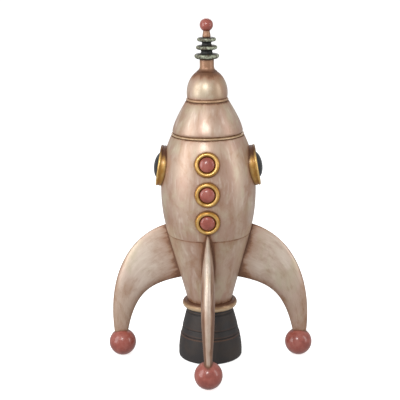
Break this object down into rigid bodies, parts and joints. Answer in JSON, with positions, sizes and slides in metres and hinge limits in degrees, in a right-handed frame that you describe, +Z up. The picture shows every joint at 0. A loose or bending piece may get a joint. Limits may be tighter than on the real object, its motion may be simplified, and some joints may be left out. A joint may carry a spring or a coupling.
{
  "type": "display rocket",
  "caption": "Free-standing retro display rocket on curved fins with ball feet, with sprung dome push buttons, side portholes and a lift-off nose.",
  "frame": {"origin": "on the floor, on the rocket's vertical axis, at the middle of the nozzle's underside", "axes": "+Z up along the rocket's axis, -Y towards the front with the push buttons, +X towards the rocket's side porthole on the right seen from the front"},
  "size_m": [0.76, 0.76, 1.256],
  "materials": {
    "pearl_champagne": "hand-brushed pearl champagne paint with brown glaze in the recesses, satin",
    "antique_gold": "antique gold, worn bright on the crown and brown at the foot",
    "bronze_wash": "bronze wash over champagne, satin",
    "copper_wash": "copper wash with vertical brush streaks, satin",
    "dusty_rose": "dusty brick rose, satin gloss",
    "charcoal": "charcoal brown, satin, brown rubbed step edges",
    "verdigris": "dark green black with worn pale green rims",
    "dark_spacer": "near black, satin",
    "smoked_dome": "opaque dark grey dome, gloss",
    "bare_glass_fibre": "bare glass fibre laminate",
    "plywood": "birch plywood",
    "zinc_steel": "zinc plated",
    "black_plastic": "black moulded plastic"
  },
  "bodies": {
    "rocket": {"nozzle": "charcoal", "base_plate": "zinc_steel", "tail_ring": "bronze_wash", "tail_cone": "pearl_champagne", "lower_bulkhead": "plywood", "seam_bulkhead": "bare_glass_fibre", "upper_bulkhead": "plywood", "hull_shell": "pearl_champagne", "band_ring": "bronze_wash", "centre_mast": "zinc_steel", "mast_nut": "zinc_steel", "fin_right": "pearl_champagne", "foot_ball_right": "dusty_rose", "foot_stud_right": "zinc_steel", "fin_bolt_right": "zinc_steel", "fin_back": "pearl_champagne", "foot_ball_back": "dusty_rose", "foot_stud_back": "zinc_steel", "fin_bolt_back": "zinc_steel", "fin_left": "pearl_champagne", "foot_ball_left": "dusty_rose", "foot_stud_left": "zinc_steel", "fin_bolt_left": "zinc_steel", "fin_front": "pearl_champagne", "foot_ball_front": "dusty_rose", "foot_stud_front": "zinc_steel", "fin_bolt_front": "zinc_steel", "porthole_bezel_right": "antique_gold", "porthole_dome_right": "smoked_dome", "porthole_bezel_left": "antique_gold", "porthole_dome_left": "smoked_dome", "button_bezel_lower": "antique_gold", "button_housing_lower": "black_plastic", "button_switch_lower": "black_plastic", "button_spring_lower": "zinc_steel", "button_bezel_middle": "antique_gold", "button_housing_middle": "black_plastic", "button_switch_middle": "black_plastic", "button_spring_middle": "zinc_steel", "button_bezel_upper": "antique_gold", "button_housing_upper": "black_plastic", "button_switch_upper": "black_plastic", "button_spring_upper": "zinc_steel"},
    "nose": {"nose_cone": "pearl_champagne", "nose_spigot": "bare_glass_fibre", "nose_bead": "copper_wash", "nose_dome": "pearl_champagne", "neck": "copper_wash", "disc_lower": "verdigris", "spacer_lower": "dark_spacer", "disc_middle": "verdigris", "spacer_upper": "dark_spacer", "disc_upper": "verdigris", "tip_collar": "copper_wash", "tip_ball": "dusty_rose", "antenna_rod": "zinc_steel"},
    "button_lower": {"button_dome_lower": "dusty_rose"},
    "button_middle": {"button_dome_middle": "dusty_rose"},
    "button_upper": {"button_dome_upper": "dusty_rose"}
  },
  "joints": [
    {"name": "nose_lift", "type": "slide", "parent": "rocket", "child": "nose", "axis": [0, 0, 1], "range_m": [0, 0.08]},
    {"name": "button_lower_press", "type": "slide", "parent": "rocket", "child": "button_lower", "axis": [0, 0.9906, 0.1365], "range_m": [0, 0.006], "stiffness_N_per_m": 500, "springref_m": -0.005, "deforming": ["button_spring_lower"]},
    {"name": "button_middle_press", "type": "slide", "parent": "rocket", "child": "button_middle", "axis": [0, 0.9994, -0.0342], "range_m": [0, 0.006], "stiffness_N_per_m": 500, "springref_m": -0.005, "deforming": ["button_spring_middle"]},
    {"name": "button_upper_press", "type": "slide", "parent": "rocket", "child": "button_upper", "axis": [0, 0.9731, -0.2305], "range_m": [0, 0.006], "stiffness_N_per_m": 500, "springref_m": -0.005, "deforming": ["button_spring_upper"]}
  ]
}
